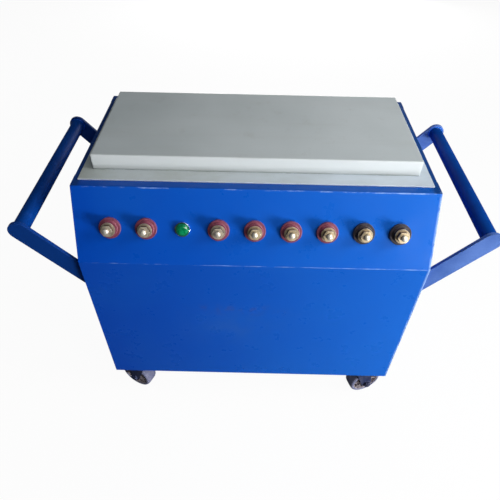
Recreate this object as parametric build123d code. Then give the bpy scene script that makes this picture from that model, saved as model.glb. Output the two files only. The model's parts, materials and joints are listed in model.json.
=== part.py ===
from build123d import *
import math
import os

# Three-phase hand-set variac in a sheet-metal cabinet on castors.
# Millimetres. +X is the operator's right, +Y is the back, +Z is up.
# Pieces are drawn with z = 0 at the cabinet's underside and y = 0 at its front
# face, then moved so that the row's origin is on the floor, under the middle.

# ---- driving dimensions -------------------------------------------------
WIDTH = 600.0            # cabinet, outside
DEPTH = 370.0
FOLD_H = 345.0           # height of the crease between upright and sloping front
RIM_H = 466.0            # height of the top rim
SLOPE_BACK = 56.0        # how far the sloping front leans back at the rim
SHEET = 2.0
CREASE_R = 4.0           # outside radii of the sheet's bends
RIM_BEND_R = 3.0
EDGE_R = 1.5
COVER_BEND_R = 2.5
RIM_W = 30.0             # inward flange round the top
RIM_SHOWN_FRONT = 15.0   # part of the rim that the cover leaves bare
RIM_SHOWN_SIDE = 9.0
BASE_T = 3.0

COVER_FLANGE_FRONT = 28.0
COVER_FLANGE_SIDE = 18.0
COVER_RISE = 30.0
COVER_GAP = 0.3          # the closed cover's stand-off from the rim
HINGE_X = 180.0          # the two cover hinges
HINGE_LEN = 60.0
KNUCKLE_R = 3.4
HINGE_PIN_R = 1.8

ARM_ANGLE = 49.8         # handle arms rise outwards at this angle
ARM_W = 34.8
ARM_T = 6.0
ARM_LEN = 133.7          # wall to grip centre, along the arm
ARM_ROOT_H = 301.7       # arm centre line at the wall
ARM_INSET = 10.0         # arm's outer face to the cabinet's front or back
GRIP_R = 13.1
GRIP_WALL = 2.0

STATION_PITCH = 60.0
STATION_UP = 64.0        # station centres, up the slope from the crease
LAMP_STATION = 2
BLACK_STATIONS = (7, 8)
STATIONS = 9
STUD_R = 5.0
NUT_BORE_R = 5.06
NUT_AF = 17.0            # M10 nut across flats
STUD_OUT = 29.0          # stud tip beyond the panel
STUD_IN = 30.0
TIP_CHAMFER = 1.0
INSULATOR_R = 18.0
INSULATOR_H = 8.0
SEAT_NUT_H = 5.0
WASHER_R = 12.0
WASHER_T = 1.6
CLAMP_NUT_H = 8.0
STACK_GAP = 0.1          # between the loose pieces on a stud

CASTOR_H = 105.0
CASTOR_X = 248.0
CASTOR_INSET = 32.0      # swivel axis to the cabinet's front or back
CASTOR_TRAIL = 20.0
WHEEL_R = 37.5
WHEEL_W = 32.0
CASTORS = {              # name: (side, end, heading of the trailing wheel in degrees)
    "front_left": (-1, 0, 154.0),
    "front_right": (1, 0, 20.0),
    "rear_left": (-1, 1, 200.0),
    "rear_right": (1, 1, -20.0),
}

VARIAC_Y = 190.0         # rotor axis
GANGS = 3
GANG_PITCH = 115.0
STACK_FOOT = 20.0        # underside of the lowest plate
PLATE_HALF = 120.0
PLATE_T = 4.0
ROD_AT = 108.0
ROD_R = 5.0
WINDING_R = 125.0
WINDING_HOLE_R = 55.0
WINDING_H = 60.0
WINDING_T = 8.0
WINDING_ARC = 330.0
SHAFT_R = 8.0
BUSH_BORE_R = 8.05
BUSH_R = 13.0
DECK_H = 440.0           # underside of the sunken deck
KNOB_R = 45.0
DIAL_R = 74.0

SCREW_HEAD_R = 4.5
SCREW_HEAD_H = 3.0
SCREW_R = 2.5
SPIGOT_R = 7.8           # insulating collar through the panel
LAMP_R = 11.0
LAMP_LENS_R = 10.8
LAMP_BEZEL_R = 12.6
CASTOR_PLATE = 58.0
CASTOR_PLATE_T = 3.0
CASTOR_BOLT_AT = 22.0
CASTOR_BOLT_R = 3.0
RACE_R = 24.0
RACE_H = 9.0
CROWN_TOP = -9.3         # all castor heights are below the cabinet's underside
CROWN_BOTTOM = -13.3
CROWN_R = 25.0
KING_PIN_R = 6.0
KING_PIN_END = -17.3
FORK_T = 2.5
FORK_END_R = 12.0
AXLE_R = 5.0
AXLE_HEAD_AF = 15.0
BACK_FLANGE = 20.0
BACK_SCREW_X = 287.0
BACK_SCREW_H = (30.0, 160.0, 290.0, 410.0)
DECK_FLANGE = 15.0
DECK_SCREW_H = 432.0
DECK_SCREW_Y = (100.0, 190.0, 280.0)
SCREW_SHANK = 9.0
VENT_LEN = 90.0
VENT_H = 6.0
VENT_ROWS = 8
VENT_PITCH = 16.0
VENT_X = 130.0
VENT_BOTTOM = 90.0
LEAF_T = 1.4
MID_HOLE_R = 30.0
HUB_R = 18.0
TRACK_R = 90.0           # where the brushes run on the windings
BRUSH_LEN = 12.0
BRUSH_T = 6.0
WINDING_START = -75.0    # start of the coils, degrees from +X
ARM_START = -110.0       # brush arms and knob at zero output; they turn clockwise from it
KNOB_FLUTES = 12
LEAD_R = 2.5
LEAD_BEND = 10.0
LEAD_GATHER = 0.36       # the leads close up by this much on their way to the stack

# ---- worked out from them -----------------------------------------------
SLOPE_LEN = math.hypot(SLOPE_BACK, RIM_H - FOLD_H)
SLOPE_UP = Vector(0, SLOPE_BACK / SLOPE_LEN, (RIM_H - FOLD_H) / SLOPE_LEN)
SLOPE_OUT = Vector(0, -SLOPE_UP.Z, SLOPE_UP.Y)
STUD_TIP_Y = SLOPE_UP.Y * (STATION_UP - (STUD_R - TIP_CHAMFER)) - SLOPE_UP.Z * STUD_OUT
Y_MID = (STUD_TIP_Y + DEPTH + SCREW_HEAD_H) / 2
ROW = Location((0, -Y_MID, CASTOR_H))
BOTTOM = (Align.CENTER, Align.CENTER, Align.MIN)
WASHER_Z = INSULATOR_H + SEAT_NUT_H + STACK_GAP
CLAMP_NUT_Z = WASHER_Z + WASHER_T + STACK_GAP
COVER_Z = RIM_H + COVER_GAP
COVER_FRONT = SLOPE_BACK + RIM_SHOWN_FRONT
COVER_BACK = DEPTH - RIM_SHOWN_FRONT
TRAY_FRONT = COVER_FRONT + COVER_FLANGE_FRONT
TRAY_BACK = COVER_BACK - COVER_FLANGE_FRONT
HINGE_Y = DEPTH - RIM_SHOWN_FRONT + 3.5
HINGE_Z = RIM_H + KNUCKLE_R + 0.5
KNOB_Z = DECK_H + SHEET + 3.0


def block(x0, x1, y0, y1, z0, z1):
    """A box between two corners."""
    size = Box(x1 - x0, y1 - y0, z1 - z0, align=(Align.MIN, Align.MIN, Align.MIN))
    return Pos(x0, y0, z0) * size


def disc(radius, z0, z1):
    """An upright cylinder on the local Z axis."""
    return Pos(0, 0, z0) * Cylinder(radius, z1 - z0, align=BOTTOM)


def ring(outer, inner, z0, z1):
    return disc(outer, z0, z1) - disc(inner, z0, z1)


def hexagon(across_flats, z0, z1):
    outline = RegularPolygon(across_flats / 2, 6, major_radius=False)
    return Pos(0, 0, z0) * extrude(outline, z1 - z0)


def hex_nut(across_flats, bore, z0, z1):
    """A hex nut with its corners turned off at both faces."""
    turned = chamfer(disc(across_flats / math.sqrt(3), z0, z1).edges(), 0.8)
    return (hexagon(across_flats, z0, z1) & turned) - disc(bore, z0 - 1, z1 + 1)


def bolt(head_af, head_h, radius, length):
    """A hex bolt: underside of the head at z = 0, shank downwards."""
    return hexagon(head_af, 0, head_h) + disc(radius, -length, 0)


def yz_prism(points, x0, x1, rounds=()):
    """A (y, z) outline drawn out along X; rounds gives (point number, radius) of its bends."""
    outline = make_face(Polyline(*[(x0, y, z) for y, z in points], close=True))
    for number, radius in rounds:
        y, z = points[number]
        corner = outline.vertices().sort_by_distance((x0, y, z))[0]
        outline = fillet(corner, radius)
    return extrude(outline, x1 - x0, dir=(1, 0, 0))


def group(solids):
    """Separate solids that share one node."""
    return Compound(children=[solid for shape in solids for solid in shape.solids()])


def slope_y(height, depth=0.0):
    """y of the front's surface at a height, or of a surface that far behind it."""
    return SLOPE_BACK * (height - FOLD_H) / (RIM_H - FOLD_H) + depth / SLOPE_UP.Z


def fold_behind(depth):
    """Height of the crease in a surface that far behind the front's."""
    return FOLD_H + depth * math.tan(math.atan2(SLOPE_UP.Y, SLOPE_UP.Z) / 2)


def station(number):
    """Local Z points out of the sloping front, with z = 0 on its surface."""
    x = (number - (STATIONS - 1) / 2) * STATION_PITCH
    up = SLOPE_UP * STATION_UP
    return Plane(origin=(x, up.Y, FOLD_H + up.Z), x_dir=(1, 0, 0), z_dir=SLOPE_OUT).location


# ---- cabinet ---------------------------------------------------------------
def front_panel():
    """One sheet: upright front, crease, sloping front and rim flange."""
    outline = [
        (0, 0),
        (0, FOLD_H),
        (SLOPE_BACK, RIM_H),
        (SLOPE_BACK + RIM_W, RIM_H),
        (SLOPE_BACK + RIM_W, RIM_H - SHEET),
        (slope_y(RIM_H - SHEET, SHEET), RIM_H - SHEET),
        (SHEET, fold_behind(SHEET)),
        (SHEET, 0),
    ]
    bends = [(1, CREASE_R), (2, RIM_BEND_R), (5, RIM_BEND_R - SHEET), (6, CREASE_R - SHEET)]
    panel = yz_prism(outline, -WIDTH / 2, WIDTH / 2, bends)
    for number in range(STATIONS):
        radius = LAMP_R if number == LAMP_STATION else SPIGOT_R
        panel -= station(number) * disc(radius, -SHEET * 3, SHEET * 3)
    return panel


def cross_hole(x, y, z, direction, radius, reach):
    """A round cutter centred on a point, along X or Y."""
    turn = Rot(0, 90, 0) if direction == "x" else Rot(90, 0, 0)
    return Pos(x, y, z) * turn * disc(radius, -reach, reach)


def side_panel(side):
    """A flat side with its rim flange and the flange that the back screws to."""
    wall = yz_prism(
        [
            (SHEET, 0),
            (SHEET, fold_behind(SHEET)),
            (slope_y(RIM_H - SHEET, SHEET), RIM_H - SHEET),
            (SLOPE_BACK + RIM_W, RIM_H - SHEET),
            (SLOPE_BACK + RIM_W, RIM_H),
            (DEPTH - RIM_W, RIM_H),
            (DEPTH - RIM_W, RIM_H - SHEET),
            (DEPTH - SHEET, RIM_H - SHEET),
            (DEPTH - SHEET, 0),
        ],
        WIDTH / 2 - SHEET,
        WIDTH / 2,
        [(1, CREASE_R - SHEET), (2, RIM_BEND_R - SHEET)],
    )
    inside = WIDTH / 2 - SHEET
    rim_y = (SLOPE_BACK + RIM_W, DEPTH - RIM_W)
    wall += block(WIDTH / 2 - RIM_W, inside, *rim_y, RIM_H - SHEET, RIM_H)
    wall += block(inside - BACK_FLANGE, inside, DEPTH - 2 * SHEET, DEPTH - SHEET, BASE_T, RIM_H - SHEET)
    outer_edge = wall.edges().sort_by_distance((WIDTH / 2, sum(rim_y) / 2, RIM_H))[0]
    wall = fillet(outer_edge, EDGE_R)
    for height in BACK_SCREW_H:
        wall -= cross_hole(BACK_SCREW_X, DEPTH - SHEET, height, "y", SCREW_R + 0.2, 5)
    for y in DECK_SCREW_Y:
        wall -= cross_hole(WIDTH / 2, y, DECK_SCREW_H, "x", SCREW_R + 0.2, 5)
    return wall if side > 0 else mirror(wall, Plane.YZ)


def rear_panel():
    """Removable back with its share of the rim and two columns of vent slots."""
    panel = block(-WIDTH / 2, WIDTH / 2, DEPTH - SHEET, DEPTH, 0, RIM_H)
    panel += block(-WIDTH / 2, WIDTH / 2, DEPTH - RIM_W, DEPTH - SHEET, RIM_H - SHEET, RIM_H)
    panel = fillet(panel.edges().sort_by_distance((0, DEPTH, RIM_H))[0], RIM_BEND_R)
    slot = Rot(90, 0, 0) * extrude(SlotOverall(VENT_LEN, VENT_H), 4 * SHEET, both=True)
    for column in (-1, 1):
        for row in range(VENT_ROWS):
            panel -= Pos(column * VENT_X, DEPTH, VENT_BOTTOM + row * VENT_PITCH) * slot
    for side in (-1, 1):
        for height in BACK_SCREW_H:
            panel -= cross_hole(side * BACK_SCREW_X, DEPTH, height, "y", SCREW_R + 0.2, 5)
    return panel


def base_plate():
    inside = WIDTH / 2 - SHEET
    plate = block(-inside, inside, SHEET, DEPTH - SHEET, 0, BASE_T)
    for name in CASTORS:
        for hole in castor_bolt_holes():
            plate -= castor_place(name) * hole * disc(CASTOR_BOLT_R + 0.2, -2, BASE_T + 2)
    for x, y in rod_places():
        plate -= Pos(x, y, 0) * disc(ROD_R + 0.3, -1, BASE_T + 1)
    return plate


def deck_plate():
    """Sunken pan under the cover: the knob's shaft comes up through it."""
    front = slope_y(DECK_H + SHEET, SHEET) + 1.0
    back = DEPTH - 2 * SHEET - 1.0
    half = WIDTH / 2 - SHEET - 0.2
    low = DECK_H - DECK_FLANGE
    deck = block(-half, half, front, back, low, DECK_H + SHEET)
    deck -= block(-half + SHEET, half - SHEET, front + SHEET, back - SHEET, low - 1, DECK_H)
    deck -= Pos(0, VARIAC_Y, 0) * disc(SHAFT_R + 2, DECK_H - 1, DECK_H + SHEET + 1)
    for side in (-1, 1):
        for y in DECK_SCREW_Y:
            deck -= cross_hole(side * half, y, DECK_SCREW_H, "x", SCREW_R + 0.2, 6)
    return deck


def panel_screw():
    """Pan head on local z = 0, shank into -Z."""
    head = fillet(disc(SCREW_HEAD_R, 0, SCREW_HEAD_H).edges().group_by(Axis.Z)[-1], 1.2)
    slot = Pos(0, 0, SCREW_HEAD_H) * Box(2 * SCREW_HEAD_R, 1.0, 2.0)
    return head - slot + disc(SCREW_R, -SCREW_SHANK, 0)


def panel_screws():
    screws = []
    for side in (-1, 1):
        for height in BACK_SCREW_H:
            screws.append(Pos(side * BACK_SCREW_X, DEPTH, height) * Rot(-90, 0, 0) * panel_screw())
        for y in DECK_SCREW_Y:
            screws.append(Pos(side * WIDTH / 2, y, DECK_SCREW_H) * Rot(0, 90 * side, 0) * panel_screw())
    return group(screws)


# ---- cover and its hinges ----------------------------------------------------
def top_cover():
    """Folded tray: a flange that lies on the rim and a raised, hollow middle."""
    x_out = WIDTH / 2 - RIM_SHOWN_SIDE
    x_in = x_out - COVER_FLANGE_SIDE
    cover = block(-x_out, x_out, COVER_FRONT, COVER_BACK, COVER_Z, COVER_Z + SHEET)
    tray = block(-x_in, x_in, TRAY_FRONT, TRAY_BACK, COVER_Z, COVER_Z + COVER_RISE)
    upright = tray.edges().filter_by(Axis.Z)
    top = tray.edges().group_by(Axis.Z)[-1]
    cover += fillet(upright + top, COVER_BEND_R)
    hollow_x = x_in - SHEET
    hollow_top = COVER_Z + COVER_RISE - SHEET
    cover -= block(-hollow_x, hollow_x, TRAY_FRONT + SHEET, TRAY_BACK - SHEET, COVER_Z - 1, hollow_top)
    return cover


def knuckle(x0, x1):
    """Part of a hinge barrel, bored for the pin."""
    barrel = cylinder_x(KNUCKLE_R, x0, x1) - cylinder_x(HINGE_PIN_R + 0.05, x0 - 1, x1 + 1)
    return Pos(0, HINGE_Y, HINGE_Z) * barrel


def cylinder_x(radius, x0, x1):
    return Pos(x0, 0, 0) * Rot(0, 90, 0) * disc(radius, 0, x1 - x0)


def knuckle_spans(centre):
    """(x0, x1) of a hinge's three barrel lengths; the middle one is the cover's."""
    third = HINGE_LEN / 3
    start = centre - HINGE_LEN / 2
    return [(start + i * third + 0.25, start + (i + 1) * third - 0.25) for i in range(3)]


def hinge_leaf(centre, spans, y_far, z0):
    """A leaf with a tongue to each of its own barrel lengths."""
    reach = KNUCKLE_R + 0.5
    toward = 1 if y_far > HINGE_Y else -1
    near = HINGE_Y + toward * reach
    y0, y1 = sorted((near, y_far))
    leaf = block(centre - HINGE_LEN / 2, centre + HINGE_LEN / 2, y0, y1, z0, z0 + LEAF_T)
    for x0, x1 in spans:
        t0, t1 = sorted((near, HINGE_Y))
        tongue = block(x0, x1, t0, t1, z0, z0 + LEAF_T)
        bore = Pos(0, HINGE_Y, HINGE_Z) * cylinder_x(HINGE_PIN_R + 0.05, x0 - 1, x1 + 1)
        leaf += knuckle(x0, x1) + (tongue - bore)
    return leaf


def frame_hinge_leaves():
    leaves = []
    for centre in (-HINGE_X, HINGE_X):
        first, _, last = knuckle_spans(centre)
        leaves.append(hinge_leaf(centre, (first, last), DEPTH - 1, RIM_H))
    return group(leaves)


def cover_hinge_leaves():
    leaves = []
    for centre in (-HINGE_X, HINGE_X):
        _, middle, _ = knuckle_spans(centre)
        leaves.append(hinge_leaf(centre, (middle,), TRAY_BACK + 1, COVER_Z + SHEET))
    return group(leaves)


def hinge_pins():
    pins = []
    for centre in (-HINGE_X, HINGE_X):
        start = centre - HINGE_LEN / 2
        end = centre + HINGE_LEN / 2
        pin = cylinder_x(HINGE_PIN_R, start - 1, end + 1)
        pin += cylinder_x(HINGE_PIN_R + 1, start - 1.1, start - 0.1)
        pin += cylinder_x(HINGE_PIN_R + 1, end + 0.1, end + 1.1)
        pins.append(Pos(0, HINGE_Y, HINGE_Z) * pin)
    return group(pins)


# ---- handles -------------------------------------------------------------------
def grip_centre():
    angle = math.radians(ARM_ANGLE)
    return WIDTH / 2 + ARM_LEN * math.cos(angle), ARM_ROOT_H + ARM_LEN * math.sin(angle)


def handle_arm(y0):
    """Flat bar with a round outer end, cut to the wall at its root."""
    x, z = grip_centre()
    bar = Pos(WIDTH / 2, y0, ARM_ROOT_H) * Rot(0, -ARM_ANGLE, 0) * block(
        -2 * ARM_W, ARM_LEN, 0, ARM_T, -ARM_W / 2, ARM_W / 2
    )
    end = Pos(x, y0, z) * Rot(-90, 0, 0) * disc(ARM_W / 2, 0, ARM_T)
    return bar + end - block(0, WIDTH / 2, y0 - 1, y0 + ARM_T + 1, 0, RIM_H)


def handle_arms(side):
    arms = [handle_arm(ARM_INSET), handle_arm(DEPTH - ARM_INSET - ARM_T)]
    arms = group(arms)
    return arms if side > 0 else mirror(arms, Plane.YZ)


def handle_grip(side):
    x, z = grip_centre()
    y0 = ARM_INSET + ARM_T
    tube = ring(GRIP_R, GRIP_R - GRIP_WALL, 0, DEPTH - 2 * y0)
    return Pos(side * x, y0, z) * Rot(-90, 0, 0) * tube


# ---- castors -------------------------------------------------------------------
def castor_place(name):
    """Local origin on the swivel axis, at the cabinet's underside."""
    side, end, _ = CASTORS[name]
    y = DEPTH - CASTOR_INSET if end else CASTOR_INSET
    return Pos(side * CASTOR_X, y, 0)


def castor_bolt_holes():
    at = (-CASTOR_BOLT_AT, CASTOR_BOLT_AT)
    return [Pos(x, y, 0) for x in at for y in at]


def castor_top_plate():
    """Top plate, swivel race and riveted king pin."""
    plate = extrude(RectangleRounded(CASTOR_PLATE, CASTOR_PLATE, 8), -CASTOR_PLATE_T)
    race = disc(RACE_R, -RACE_H, -CASTOR_PLATE_T)
    pin = disc(KING_PIN_R, KING_PIN_END, -RACE_H)
    pin_head = disc(KING_PIN_R + 4, KING_PIN_END, CROWN_BOTTOM - 0.3)
    top = plate + race + pin + pin_head
    for hole in castor_bolt_holes():
        top -= hole * disc(CASTOR_BOLT_R + 0.2, -CASTOR_PLATE_T - 1, 1)
    return top


def castor_top_plates():
    return group([castor_place(name) * castor_top_plate() for name in CASTORS])


def castor_bolts():
    """Heads under the castor plate, nuts on the base plate."""
    fasteners = []
    length = CASTOR_PLATE_T + BASE_T + 8
    for name in CASTORS:
        for hole in castor_bolt_holes():
            shank = Pos(0, 0, -CASTOR_PLATE_T) * Rot(180, 0, 0) * bolt(10, 4, CASTOR_BOLT_R, length)
            nut = hex_nut(10, CASTOR_BOLT_R, BASE_T, BASE_T + 5)
            fasteners += [castor_place(name) * hole * shank, castor_place(name) * hole * nut]
    return group(fasteners)


def castor_frame(name):
    """The swivelled castor: local +X towards the trailing wheel."""
    return castor_place(name) * Rot(0, 0, CASTORS[name][2])


def castor_fork(name):
    """Crown and two legs, with the axle bolt as a second solid."""
    half_gap = WHEEL_W / 2 + 1.0
    axle_z = WHEEL_R - CASTOR_H
    crown = disc(CROWN_R, CROWN_BOTTOM, CROWN_TOP) - disc(KING_PIN_R + 0.05, CROWN_BOTTOM - 1, CROWN_TOP + 1)
    leg = make_hull(
        (Pos(CASTOR_TRAIL, axle_z) * Circle(FORK_END_R)).edges()
        + (Pos(4, CROWN_BOTTOM + 1.5) * Rectangle(2 * (CROWN_R - 7), 3)).edges()
    )
    fork = crown
    for side in (-1, 1):
        upright = extrude(Plane.XZ * leg, FORK_T / 2, both=True)
        fork += Pos(0, side * (half_gap + FORK_T / 2), 0) * upright
    bore = Pos(CASTOR_TRAIL, 0, axle_z) * Rot(90, 0, 0) * disc(AXLE_R, -40, 40)
    outer = half_gap + FORK_T
    axle = disc(AXLE_R, -outer, outer + 8)
    axle += hexagon(AXLE_HEAD_AF, -outer - 5, -outer)
    axle += hex_nut(AXLE_HEAD_AF, AXLE_R - 0.1, outer, outer + 6)
    axle = Pos(CASTOR_TRAIL, 0, axle_z) * Rot(90, 0, 0) * axle
    return group([castor_frame(name) * (fork - bore), castor_frame(name) * axle])


def castor_wheel(name):
    """Moulded wheel: rounded tread, dished sides, hub bored for the axle."""
    half = WHEEL_W / 2
    tread = fillet(disc(WHEEL_R, -half, half).edges(), 5)
    dish = ring(WHEEL_R - 9, 11, half - 5, half + 1)
    wheel = tread - dish - Rot(180, 0, 0) * dish - disc(AXLE_R + 0.05, -half - 1, half + 1)
    return castor_frame(name) * Pos(CASTOR_TRAIL, 0, WHEEL_R - CASTOR_H) * Rot(90, 0, 0) * wheel


# ---- terminals and lamp --------------------------------------------------------
def stud_stations():
    return [n for n in range(STATIONS) if n != LAMP_STATION]


def terminal_stud():
    """Threaded stud; a shallow groove marks where the clamp nut's thread ends."""
    stud = disc(STUD_R, -STUD_IN, STUD_OUT)
    stud = chamfer(stud.edges(), TIP_CHAMFER)
    groove_z = CLAMP_NUT_Z + CLAMP_NUT_H
    return stud - ring(STUD_R + 1, STUD_R - 0.4, groove_z - 0.2, groove_z + 0.3)


def insulator():
    """Stepped washer of moulded insulation on the outside of the panel."""
    washer = disc(INSULATOR_R, 0, INSULATOR_H - 3) + disc(INSULATOR_R - 4.5, 0, INSULATOR_H)
    rims = washer.edges().filter_by(GeomType.CIRCLE).group_by(Axis.Z)[1:]
    washer = fillet([edge for rim in rims for edge in rim], 0.8)
    return washer - disc(STUD_R + 0.2, -1, INSULATOR_H + 1)


def rear_insulator():
    washer = disc(INSULATOR_R - 3, -SHEET - 5, -SHEET) + disc(SPIGOT_R, -SHEET, 0)
    return washer - disc(STUD_R + 0.2, -SHEET - 6, 1)


def on_stations(shape, numbers):
    return group([station(number) * shape for number in numbers])


def fixed_terminal_nuts():
    """The seat nut outside and the holding nut inside, on every stud."""
    seat = hex_nut(NUT_AF, STUD_R, INSULATOR_H, INSULATOR_H + SEAT_NUT_H)
    holding = hex_nut(NUT_AF, STUD_R, -SHEET - 10, -SHEET - 5)
    return group([station(number) * nut for number in stud_stations() for nut in (seat, holding)])


def clamp_washer():
    return ring(WASHER_R, NUT_BORE_R, WASHER_Z, WASHER_Z + WASHER_T)


def clamp_nut():
    return hex_nut(NUT_AF, NUT_BORE_R, CLAMP_NUT_Z, CLAMP_NUT_Z + CLAMP_NUT_H)


def lamp_bezel():
    bezel = ring(LAMP_BEZEL_R, LAMP_LENS_R, 0, 4)
    return fillet(bezel.edges().filter_by(GeomType.CIRCLE).group_by(Axis.Z)[-1], 0.7)


def lamp_lens():
    """Domed jewel over the lamp."""
    lens = disc(LAMP_LENS_R, 0, 11)
    return fillet(lens.edges().group_by(Axis.Z)[-1], 6)


def lamp_body():
    body = disc(LAMP_R, -SHEET, 0) + disc(LAMP_R - 1, -34, -SHEET)
    nut = hexagon(27, -SHEET - 6, -SHEET) - disc(LAMP_R - 1, -SHEET - 7, -SHEET + 1)
    tags = [Pos(x, 0, -40) * Box(4, 0.8, 12) for x in (-5, 5)]
    return group([station(LAMP_STATION) * (body + tags[0] + tags[1]), station(LAMP_STATION) * nut])


# ---- the variac itself -----------------------------------------------------------
def gang_z(gang):
    """Top of the plate that carries a gang's toroid."""
    return STACK_FOOT + gang * GANG_PITCH + PLATE_T


def on_axis(shape):
    return Pos(0, VARIAC_Y, 0) * shape


def toroid(outer, inner, z0, z1, arc, corner):
    """A ring of rounded square section, open where the arc ends."""
    section = Pos((outer + inner) / 2, (z0 + z1) / 2) * RectangleRounded(outer - inner, z1 - z0, corner)
    return revolve(Plane.XZ * section, Axis.Z, arc)


def toroid_cores():
    """Wound strip cores, one for each phase."""
    slack = WINDING_T + 0.3
    return group([
        on_axis(toroid(WINDING_R - slack, WINDING_HOLE_R + slack, gang_z(g) + slack,
                       gang_z(g) + WINDING_H - slack, 360, 1.0))
        for g in range(GANGS)
    ])


def windings():
    """One coil layer round each core, left open at the ends of travel."""
    coils = []
    for g in range(GANGS):
        z0, z1 = gang_z(g), gang_z(g) + WINDING_H
        coil = toroid(WINDING_R, WINDING_HOLE_R, z0, z1, WINDING_ARC, 6)
        room = toroid(WINDING_R - WINDING_T, WINDING_HOLE_R + WINDING_T, z0 + WINDING_T,
                      z1 - WINDING_T, 360, 1.0)
        coils.append(on_axis(Rot(0, 0, WINDING_START) * (coil - room)))
    return group(coils)


def rod_places():
    return [(x, VARIAC_Y + y) for x in (-ROD_AT, ROD_AT) for y in (-ROD_AT, ROD_AT)]


def stack_plates():
    """Four square plates: the end ones hold the bushes, the middle ones pass the arms' hub."""
    plates = []
    for level in range(GANGS + 1):
        z0 = STACK_FOOT + level * GANG_PITCH
        end = level in (0, GANGS)
        plate = Pos(0, 0, z0) * extrude(RectangleRounded(2 * PLATE_HALF, 2 * PLATE_HALF, 8), PLATE_T)
        plate -= disc(BUSH_R if end else MID_HOLE_R, z0 - 1, z0 + PLATE_T + 1)
        plate = on_axis(plate)
        for x, y in rod_places():
            plate -= Pos(x, y, 0) * disc(ROD_R, z0 - 1, z0 + PLATE_T + 1)
        plates.append(plate)
    return group(plates)


def tie_rods():
    """Rods through all plates and the base, spacer tubes and end nuts."""
    top = STACK_FOOT + GANGS * GANG_PITCH + PLATE_T
    pieces = []
    for x, y in rod_places():
        place = Pos(x, y, 0)
        pieces.append(place * disc(ROD_R, -2, top + 9.5))
        pieces.append(place * hex_nut(NUT_AF, ROD_R, top, top + 8))
        pieces.append(place * ring(ROD_R + 3, ROD_R, BASE_T, STACK_FOOT))
        for gang in range(GANGS):
            pieces.append(place * ring(ROD_R + 3, ROD_R, gang_z(gang), gang_z(gang) + GANG_PITCH - PLATE_T))
    return group(pieces)


def shaft_bushes():
    """Flanged bushes in the end plates."""
    top_z = STACK_FOOT + GANGS * GANG_PITCH
    low = ring(BUSH_R, BUSH_BORE_R, STACK_FOOT, STACK_FOOT + PLATE_T + 6)
    low += ring(BUSH_R + 4, BUSH_BORE_R, STACK_FOOT - 3, STACK_FOOT)
    high = ring(BUSH_R, BUSH_BORE_R, top_z - 6, top_z + PLATE_T)
    high += ring(BUSH_R + 4, BUSH_BORE_R, top_z + PLATE_T, top_z + PLATE_T + 3)
    return group([on_axis(low), on_axis(high)])


def main_shaft():
    return on_axis(chamfer(disc(SHAFT_R, STACK_FOOT - 5, KNOB_Z + 22).edges(), 0.8))


def arm_place(gang):
    """Local origin at the top of a gang's winding; local +X along its brush arm."""
    return Pos(0, VARIAC_Y, gang_z(gang) + WINDING_H) * Rot(0, 0, ARM_START)


def brush_arms():
    """Hub, arm and balance tail, clamped to the shaft at every gang."""
    arms = []
    for gang in range(GANGS):
        hub = ring(HUB_R, SHAFT_R, 6, 26)
        reach = Pos(0, 0, 12) * block(HUB_R - 4, TRACK_R + 8, -9, 9, 0, 5)
        tail = Pos(0, 0, 12) * block(-HUB_R - 22, -HUB_R + 4, -9, 9, 0, 5)
        holder = Pos(TRACK_R, 0, 0) * block(-8, 8, -9, 9, 6, 12)
        slot = Pos(TRACK_R, 0, 0) * block(-BRUSH_LEN / 2, BRUSH_LEN / 2, -BRUSH_T / 2, BRUSH_T / 2, 0, 20)
        arm = hub + reach + tail + holder - slot
        arms.append(arm_place(gang) * arm)
    return group(arms)


def carbon_brushes():
    brush = Pos(TRACK_R, 0, 0) * block(-BRUSH_LEN / 2, BRUSH_LEN / 2, -BRUSH_T / 2, BRUSH_T / 2, 0.3, 16)
    return group([arm_place(gang) * brush for gang in range(GANGS)])


def control_knob():
    """Skirted knob with finger flutes and an index notch, open below for the shaft."""
    knob = disc(KNOB_R, 0, 6) + disc(KNOB_R - 13, 6, 32)
    knob = fillet(knob.edges().group_by(Axis.Z)[-1], 3)
    for turn in range(KNOB_FLUTES):
        knob -= Rot(0, 0, turn * 360 / KNOB_FLUTES) * Pos(KNOB_R - 9, 0, 0) * disc(6, 6, 40)
    knob -= disc(SHAFT_R, -1, 22)
    knob -= block(KNOB_R - 12, KNOB_R + 1, -1, 1, 4.5, 8)
    return Pos(0, VARIAC_Y, KNOB_Z) * Rot(0, 0, ARM_START) * knob


def dial_plate():
    return on_axis(ring(DIAL_R, SHAFT_R + 3, DECK_H + SHEET, DECK_H + SHEET + 1.5))


def phase_leads():
    """Insulated leads from the studs' inner ends down to the top plate's front edge."""
    leads = []
    inward = SLOPE_OUT * -1
    plate_top = STACK_FOOT + GANGS * GANG_PITCH + PLATE_T + LEAD_R
    for number in stud_stations():
        start = station(number).position + inward * STUD_IN
        bend = start + inward * 14
        x = start.X * LEAD_GATHER
        above = Vector(x, bend.Y + 11, bend.Z)
        foot = Vector(x, above.Y + 15, plate_top)
        route = FilletPolyline(start, bend, above, foot, foot + Vector(0, 20, 0), radius=LEAD_BEND)
        leads.append(sweep(Plane(origin=start, z_dir=inward) * Circle(LEAD_R), path=route))
    return group(leads)


# ---- write one file for each node ------------------------------------------------
def write(name, shape):
    export_step(ROW * shape, f"parts/{name}.step")


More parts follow.
